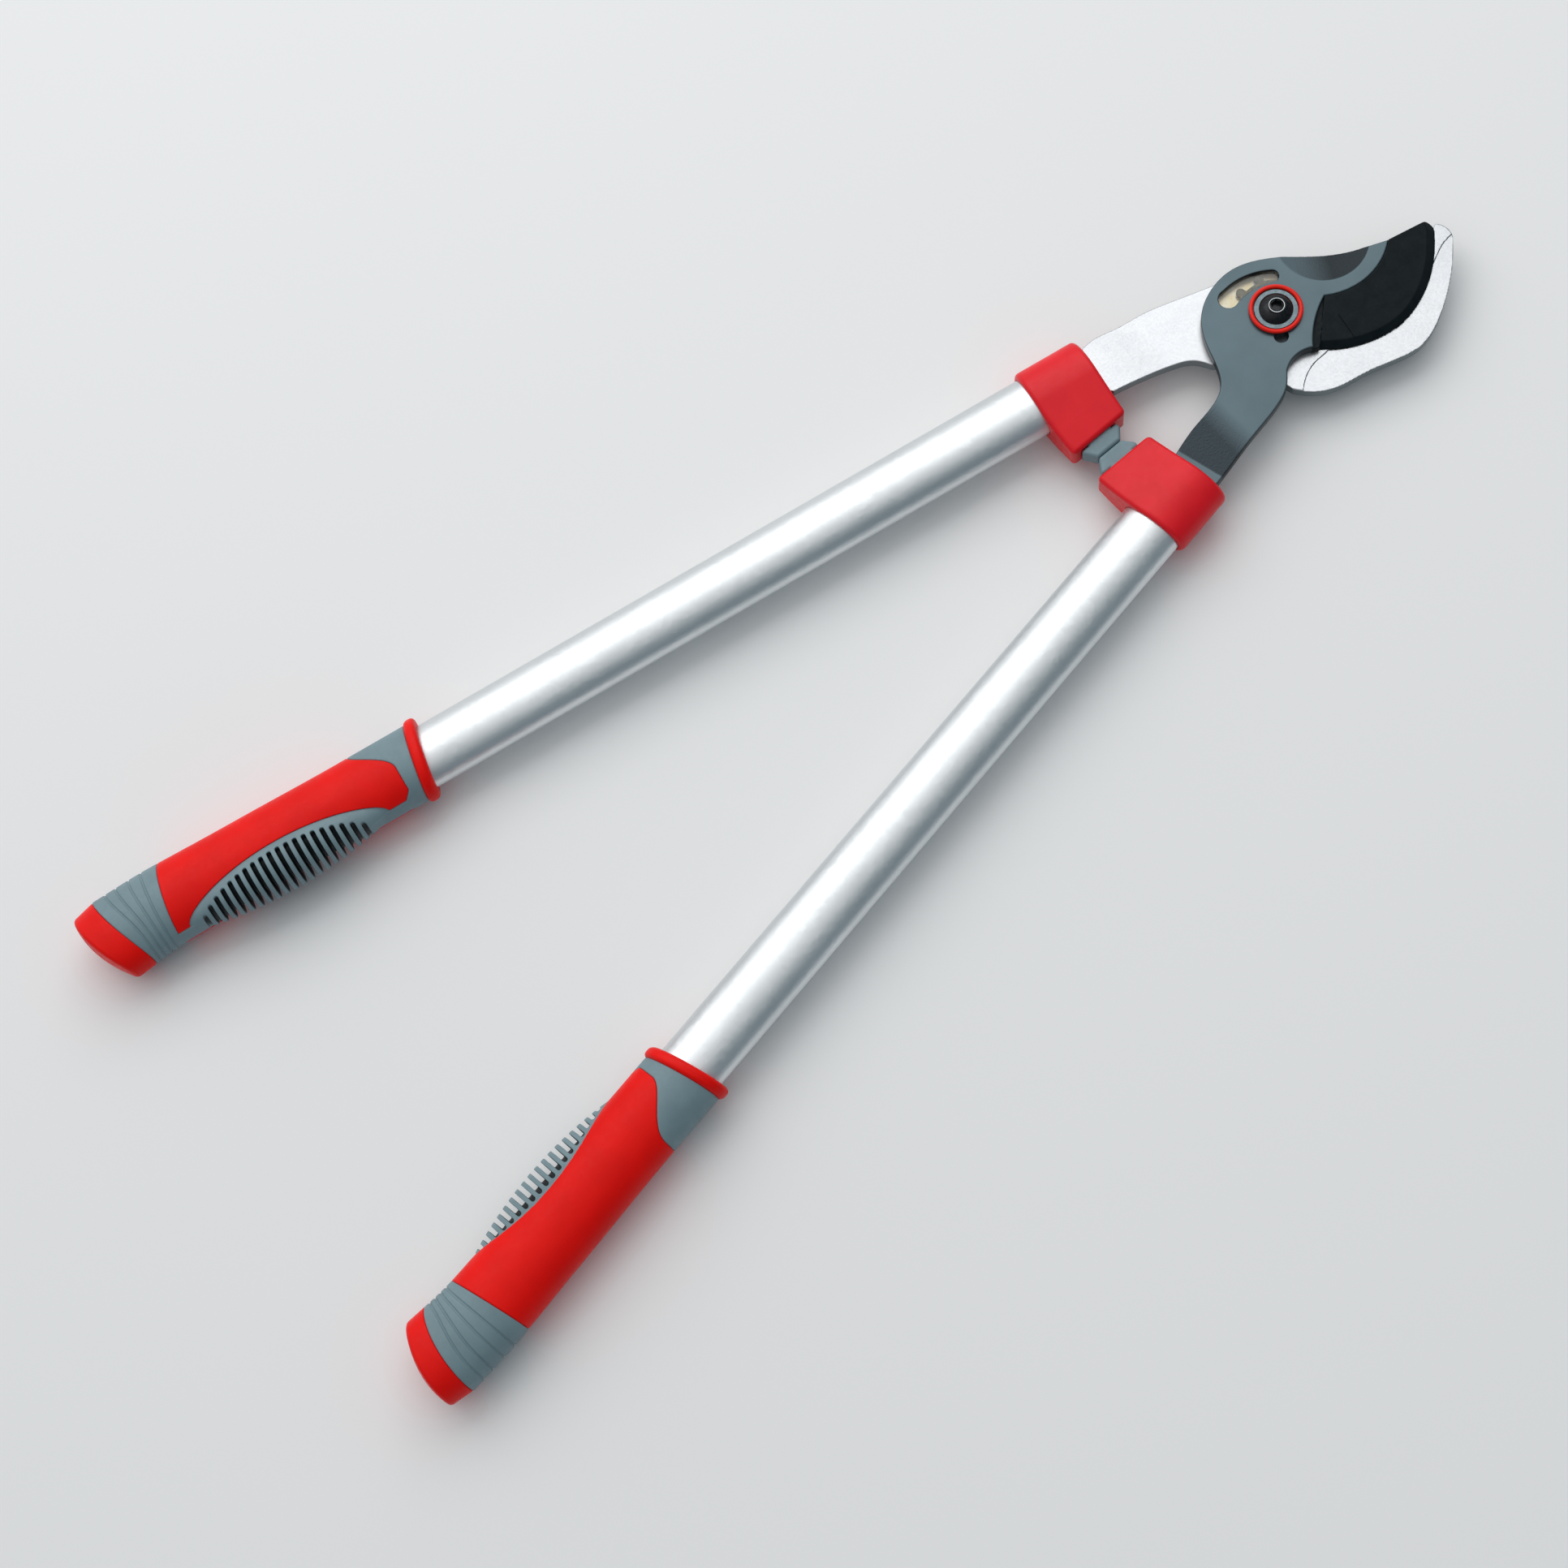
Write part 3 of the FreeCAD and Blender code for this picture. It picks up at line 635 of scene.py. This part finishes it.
class Finish:
    """A principled material with short helpers for noise, ramps and bumps."""

    def __init__(self, name, color, metallic, roughness, specular=0.5):
        self.material = bpy.data.materials.new(name)
        self.material.use_nodes = True
        self.nodes = self.material.node_tree.nodes
        self.links = self.material.node_tree.links
        self.shader = self.nodes["Principled BSDF"]
        self.shader.inputs["Base Color"].default_value = (*color, 1.0)
        self.shader.inputs["Metallic"].default_value = metallic
        self.shader.inputs["Roughness"].default_value = roughness
        self.shader.inputs["Specular IOR Level"].default_value = specular
        self.coords = self.nodes.new("ShaderNodeTexCoord").outputs["Object"]
        self.normal = None

    def noise(self, size_mm, detail=3.0):
        noise = self.nodes.new("ShaderNodeTexNoise")
        noise.inputs["Scale"].default_value = 1.0 / (size_mm * MM)
        noise.inputs["Detail"].default_value = detail
        self.links.new(self.coords, noise.inputs["Vector"])
        return noise.outputs["Fac"]

    def spread(self, factor, low, high, floor=0.35, ceiling=0.65):
        """Map a factor between two values."""
        node = self.nodes.new("ShaderNodeMapRange")
        node.inputs["From Min"].default_value = floor
        node.inputs["From Max"].default_value = ceiling
        node.inputs["To Min"].default_value = low
        node.inputs["To Max"].default_value = high
        self.links.new(factor, node.inputs["Value"])
        return node.outputs["Result"]

    def tint(self, factor, first, second):
        """Base colour that runs from first, or from the colour so far when None, to second."""
        mix = self.nodes.new("ShaderNodeMix")
        mix.data_type = "RGBA"
        self.links.new(factor, mix.inputs["Factor"])
        base = self.shader.inputs["Base Color"]
        if first is None:
            self.links.new(base.links[0].from_socket, mix.inputs["A"])
        else:
            mix.inputs["A"].default_value = (*first, 1.0)
        mix.inputs["B"].default_value = (*second, 1.0)
        self.links.new(mix.outputs["Result"], base)

    def drift(self, size_mm, first, second, detail=3.0):
        """Base colour that wanders between two tones."""
        self.tint(self.spread(self.noise(size_mm, detail), 0.0, 1.0), first, second)

    def rough(self, socket):
        self.links.new(socket, self.shader.inputs["Roughness"])

    def satin(self, size_mm, low, high, detail=3.0):
        """Roughness that wanders between two values."""
        self.rough(self.spread(self.noise(size_mm, detail), low, high))

    def bump(self, factor, depth_mm):
        node = self.nodes.new("ShaderNodeBump")
        node.inputs["Distance"].default_value = depth_mm * MM
        self.links.new(factor, node.inputs["Height"])
        if self.normal is not None:
            self.links.new(self.normal, node.inputs["Normal"])
        self.normal = node.outputs["Normal"]
        self.links.new(self.normal, self.shader.inputs["Normal"])

    def grain(self, size_mm, depth_mm, detail=3.0):
        self.bump(self.noise(size_mm, detail), depth_mm)

    def combine(self, kind, operation, a, b):
        """Node of two operands, each a socket or a fixed value."""
        node = self.nodes.new(kind)
        node.operation = operation
        for socket, value in zip(node.inputs, (a, b)):
            if isinstance(value, bpy.types.NodeSocket):
                self.links.new(value, socket)
            else:
                socket.default_value = value
        return node.outputs

    def math(self, operation, a, b=0.0):
        return self.combine("ShaderNodeMath", operation, a, b)["Value"]

    def vector(self, operation, a, b):
        outputs = self.combine("ShaderNodeVectorMath", operation, a, b)
        return outputs["Value" if operation in ("DOT_PRODUCT", "DISTANCE") else "Vector"]

    def along(self, direction, start_mm, end_mm):
        """Runs from 0 at one place to 1 at another along a direction in the row frame."""
        dot = self.vector("DOT_PRODUCT", self.coords, direction)
        return self.spread(dot, 0.0, 1.0, start_mm * MM, end_mm * MM)

    def reach(self, centre, near_mm, far_mm):
        """Runs from 1 to 0 with the plan distance from a point."""
        plan = self.vector("MULTIPLY", self.coords, (1.0, 1.0, 0.0))
        away = self.vector("DISTANCE", plan, (centre[0] * MM, centre[1] * MM, 0.0))
        return self.spread(away, 1.0, 0.0, near_mm * MM, far_mm * MM)

    def other_side(self, point):
        """A place relative to mid-height, turned half round the tool's length where y is negative."""
        split = self.nodes.new("ShaderNodeSeparateXYZ")
        self.links.new(point, split.inputs["Vector"])
        side = self.math("SIGN", split.outputs["Y"])
        mirror = self.nodes.new("ShaderNodeCombineXYZ")
        mirror.inputs["X"].default_value = 1.0
        self.links.new(side, mirror.inputs["Y"])
        self.links.new(side, mirror.inputs["Z"])
        return self.vector("MULTIPLY", point, mirror.outputs["Vector"])

    def between_fins(self, shallow_mm, deep_mm):
        """Runs from 0 to 1 between two depths below the face of either grip's finned pad."""
        pad = np.array([[PAD_U, -PAD_AXIS * math.cos(ROLL), PAD_AXIS * math.sin(ROLL)]])
        centre = to_handle(pad, 1)[0] + np.array([AXES_CROSS_X, 0.0, 0.0])
        tube = (math.cos(HALF_ANGLE), -math.sin(HALF_ANGLE), 0.0)
        arm = (PAD_ARC - PAD_R) * MM
        place = self.other_side(self.vector("SUBTRACT", self.coords, (0.0, 0.0, middle * MM)))
        away = self.vector("SUBTRACT", place, tuple(centre * MM))
        square = self.vector("DOT_PRODUCT", away, away)
        lengthwise = self.vector("DOT_PRODUCT", away, tube)
        off_axis = self.math("SUBTRACT", square, self.math("MULTIPLY", lengthwise, lengthwise))
        reach = self.math("MULTIPLY", self.math("SQRT", off_axis), 2.0 * arm)
        reach = self.math("ADD", self.math("ADD", square, arm * arm), reach)
        deep, shallow = PAD_ARC - deep_mm, PAD_ARC - shallow_mm
        return self.spread(self.math("SQRT", reach), 1.0, 0.0, deep * MM, shallow * MM)

    def upright(self):
        """1 on the side walls, 0 on the flat faces."""
        split = self.nodes.new("ShaderNodeSeparateXYZ")
        self.links.new(self.nodes["Texture Coordinate"].outputs["Normal"], split.inputs["Vector"])
        return self.spread(self.math("ABSOLUTE", split.outputs["Z"]), 1.0, 0.0, 0.35, 0.75)


def moulded(name, color, shade, roughness, specular):
    """Moulded plastic: faint colour drift and a fine eggshell texture."""
    finish = Finish(name, color, 0.0, roughness, specular)
    finish.drift(16.0, color, shade)
    finish.satin(2.5, roughness - 0.05, roughness + 0.07)
    finish.grain(0.6, 0.012, detail=2.0)
    return finish.material


@keep
def red_grip():
    return moulded("red_grip", (0.88, 0.004, 0.001), (0.80, 0.003, 0.0008), 0.42, 0.16)


@keep
def red_plastic():
    return moulded("red_plastic", (0.82, 0.008, 0.018), (0.75, 0.006, 0.014), 0.36, 0.28)


@keep
def red_rubber():
    return moulded("red_rubber", (0.85, 0.016, 0.006), (0.76, 0.012, 0.004), 0.35, 0.25)


@keep
def grey_rubber():
    finish = Finish("grey_rubber", (0.18, 0.27, 0.30), 0.0, 0.5, 0.45)
    finish.drift(12.0, (0.185, 0.275, 0.305), (0.165, 0.245, 0.275))
    # Painted shade: the floors of the slots between the fins are darkened nearly to black.
    finish.tint(finish.between_fins(0.5, 1.4), None, (0.010, 0.015, 0.018))
    finish.satin(1.5, 0.44, 0.6)
    finish.grain(0.5, 0.02)
    return finish.material


@keep
def grey_paint():
    """Satin grey coat on a forging, pebbled and darker over the tang, pebbled in the thumb scoop with
    painted shade in its hollow, and with painted shade on its side walls.
    """
    finish = Finish("grey_paint", (0.11, 0.175, 0.20), 0.55, 0.36)
    tang = finish.math("MULTIPLY", finish.along((-1.0, 0.0, 0.0), 50.0, 62.0),
                       finish.along((0.967, 0.255, 0.0), -83.0, -82.3))
    scoop = finish.math("MULTIPLY", finish.along((0.868, -0.497, 0.0), 10.0, 30.0),
                        finish.reach(SCOOP, 21.6, 22.1))
    pebbled = finish.math("MAXIMUM", tang, scoop)
    finish.drift(25.0, (0.092, 0.135, 0.155), (0.078, 0.118, 0.136))
    finish.tint(tang, None, (0.030, 0.045, 0.055))
    # Painted shade in the hollow of the thumb scoop, which is also pebbled.
    finish.tint(scoop, None, (0.014, 0.022, 0.027))
    # Painted shade: the side walls are painted nearly black.
    finish.tint(finish.upright(), None, (0.012, 0.018, 0.021))
    finish.rough(finish.spread(pebbled, 0.36, 0.5, 0.0, 1.0))
    finish.grain(1.4, 0.018, detail=4.0)
    finish.bump(finish.math("MULTIPLY", finish.noise(0.9, 2.0), pebbled), 0.25)
    return finish.material


@keep
def black_coat():
    """Matte black non-stick coat with a fine grain."""
    finish = Finish("black_coat", (0.004, 0.009, 0.011), 0.0, 0.45, 0.12)
    finish.drift(6.0, (0.003, 0.007, 0.009), (0.006, 0.011, 0.013))
    finish.satin(1.6, 0.38, 0.55)
    finish.grain(0.8, 0.035, detail=4.0)
    scribed = finish.math("MULTIPLY", finish.along((0.0, 1.0, 0.0), -34.8, -34.2),
                          finish.along((0.0, -1.0, 0.0), 20.2, 20.8))
    across = finish.math("SUBTRACT", finish.along((0.990, -0.143, 0.0), 22.60, 22.85),
                         finish.along((0.990, -0.143, 0.0), 22.85, 23.10))
    finish.bump(finish.math("MULTIPLY", scribed, across), -0.25)
    return finish.material


@keep
def steel():
    """Bright satin forging with a faint cloudy grain, with painted shade towards the tip of the jaw and
    on the side walls.
    """
    finish = Finish("steel", (0.57, 0.58, 0.60), 1.0, 0.3)
    finish.drift(8.0, (0.545, 0.560, 0.577), (0.520, 0.536, 0.555), detail=5.0)
    # Painted shade: darker towards the tip of the jaw.
    finish.tint(finish.along((0.9, 0.4, 0.0), 40.0, 95.0), None, (0.45, 0.475, 0.495))
    # Painted shade: darker side walls.
    finish.tint(finish.upright(), None, (0.20, 0.235, 0.25))
    finish.satin(0.9, 0.31, 0.39)
    finish.grain(0.8, 0.006, detail=4.0)
    return finish.material


@keep
def anodised():
    """Satin anodised extrusion."""
    finish = Finish("anodised", (0.73, 0.76, 0.775), 1.0, 0.42)
    finish.drift(40.0, (0.745, 0.775, 0.79), (0.71, 0.74, 0.755), detail=2.0)
    finish.satin(1.2, 0.38, 0.45)
    finish.grain(0.5, 0.004, detail=2.0)
    return finish.material


@keep
def zinc():
    finish = Finish("zinc", (0.15, 0.20, 0.22), 0.9, 0.36)
    finish.drift(2.0, (0.16, 0.205, 0.225), (0.12, 0.16, 0.18))
    finish.satin(0.8, 0.3, 0.44)
    finish.grain(0.4, 0.006)
    return finish.material


@keep
def lock_steel():
    """Dark hardened steel of the toothed disc."""
    finish = Finish("lock_steel", (0.07, 0.085, 0.095), 0.8, 0.4)
    finish.drift(2.0, (0.075, 0.09, 0.10), (0.05, 0.062, 0.07))
    finish.satin(0.8, 0.36, 0.5)
    finish.grain(0.4, 0.008)
    return finish.material


@keep
def black_steel():
    """Blackened bolt with a painted highlight round the rim of its socket."""
    finish = Finish("black_steel", (0.012, 0.014, 0.016), 0.6, 0.26)
    finish.drift(1.5, (0.010, 0.012, 0.014), (0.018, 0.020, 0.022))
    # Painted highlight: a bright ring round the rim of the socket.
    rim = finish.math("SUBTRACT", finish.reach((0, 0), 3.6, 3.75), finish.reach((0, 0), 3.35, 3.45))
    rim = finish.math("MULTIPLY", rim, finish.along((0, 0, 1), 24.3, 24.5))
    finish.tint(rim, None, (0.45, 0.48, 0.50))
    finish.satin(1.5, 0.2, 0.34)
    finish.grain(0.6, 0.006)
    return finish.material


@keep
def black_plastic():
    finish = Finish("black_plastic", (0.02, 0.021, 0.022), 0.0, 0.5, 0.4)
    finish.drift(3.0, (0.022, 0.023, 0.024), (0.015, 0.016, 0.018))
    finish.satin(1.5, 0.42, 0.58)
    finish.grain(0.5, 0.01)
    return finish.material


@keep
def bronze():
    finish = Finish("bronze", (0.55, 0.36, 0.15), 1.0, 0.4)
    finish.drift(2.0, (0.58, 0.38, 0.16), (0.45, 0.28, 0.11))
    finish.satin(0.8, 0.34, 0.5)
    finish.grain(0.4, 0.006)
    return finish.material


@keep
def amber():
    """Clear amber window, clouded in patches."""
    finish = Finish("amber", (0.93, 0.85, 0.62), 0.0, 0.12, 0.4)
    finish.shader.inputs["Transmission Weight"].default_value = 1.0
    finish.drift(4.0, (0.97, 0.95, 0.88), (0.92, 0.83, 0.60), detail=4.0)
    finish.satin(1.0, 0.05, 0.22)
    return finish.material


def paint_frame():
    """Materials for the CAD nodes that stay as they are."""
    finishes = {"tube": anodised, "tube_rivets": zinc, "tang_plug": black_plastic,
                "window_lens": amber, "lock_disc": lock_steel, "pivot_bush": bronze,
                "thrust_disc": bronze, "top_washer": zinc, "pivot_bolt": black_steel,
                "lock_nut": zinc, "nut_washer": zinc, "dust_collar": black_plastic,
                "ring_seal": red_rubber}
    for name, node in nodes.items():
        part = name.replace("upper_", "").replace("lower_", "")
        if part in finishes:
            node.data.materials.clear()
            node.data.materials.append(finishes[part]())


# ---------------------------------------------------------------- floor, lights and camera

BRIGHT_SIDE = (0.0, 0.574, 0.819)
DIM_SIDE = (0.18, 0.24, 0.27)
TENT = 0.85
KEY = 12.0


def add_floor():
    mesh = bpy.data.meshes.new("floor")
    mesh.from_pydata([(-6, -6, 0), (6, -6, 0), (6, 6, 0), (-6, 6, 0)], [], [(0, 1, 2, 3)])
    floor = bpy.data.objects.new("floor", mesh)
    floor.location.z = -0.002
    bpy.context.scene.collection.objects.link(floor)
    pale = Finish("pale_floor", (0.88, 0.88, 0.88), 0.0, 0.9)
    floor.data.materials.append(pale.material)


def add_light(name, place, target, size, power):
    light = bpy.data.lights.new(name, "AREA")
    light.shape = "RECTANGLE"
    light.size, light.size_y = size
    light.energy = power
    lamp = bpy.data.objects.new(name, light)
    lamp.location = place
    lamp.rotation_euler = (Vector(target) - Vector(place)).to_track_quat("-Z", "Y").to_euler()
    bpy.context.scene.collection.objects.link(lamp)


def add_world():
    """Soft tent of light, bright above and behind the upper handle and dimmer on the near side."""
    world = bpy.data.worlds.new("studio")
    world.use_nodes = True
    nodes_of, links = world.node_tree.nodes, world.node_tree.links
    direction = nodes_of.new("ShaderNodeTexCoord").outputs["Generated"]
    toward = nodes_of.new("ShaderNodeVectorMath")
    toward.operation = "DOT_PRODUCT"
    toward.inputs[1].default_value = BRIGHT_SIDE
    ramp = nodes_of.new("ShaderNodeValToRGB")
    ramp.color_ramp.interpolation = "EASE"
    stops = ramp.color_ramp.elements
    stops[0].position, stops[0].color = 0.15, (*DIM_SIDE, 1.0)
    stops[1].position, stops[1].color = 0.85, (1.0, 1.0, 1.0, 1.0)
    links.new(direction, toward.inputs[0])
    links.new(toward.outputs["Value"], ramp.inputs["Fac"])
    links.new(ramp.outputs["Color"], nodes_of["Background"].inputs["Color"])
    nodes_of["Background"].inputs["Strength"].default_value = TENT
    bpy.context.scene.world = world


def add_lights():
    add_world()
    add_light("key", (0.10, 0.95, 1.30), (-0.20, 0.0, 0.0), (2.2, 1.4), KEY)
    bpy.context.scene.view_settings.view_transform = "Standard"


def add_camera():
    data = bpy.data.cameras.new("camera")
    data.sensor_width = 36.0
    data.lens = 62.67
    data.clip_end = 20.0
    camera = bpy.data.objects.new("camera", data)
    right = Vector((0.76391, -0.63873, -0.09202))
    up = Vector((0.63332, 0.71465, 0.29698))
    back = Vector((-0.12393, -0.28514, 0.95045))
    camera.matrix_world = Matrix((
        (right.x, up.x, back.x, -0.4699),
        (right.y, up.y, back.y, -0.3720),
        (right.z, up.z, back.z, 1.1635 + middle * MM),
        (0.0, 0.0, 0.0, 1.0)))
    bpy.context.scene.collection.objects.link(camera)
    bpy.context.scene.camera = camera


paint_frame()
add_grips()
add_collars()
add_forgings()
add_floor()
add_lights()
add_camera()
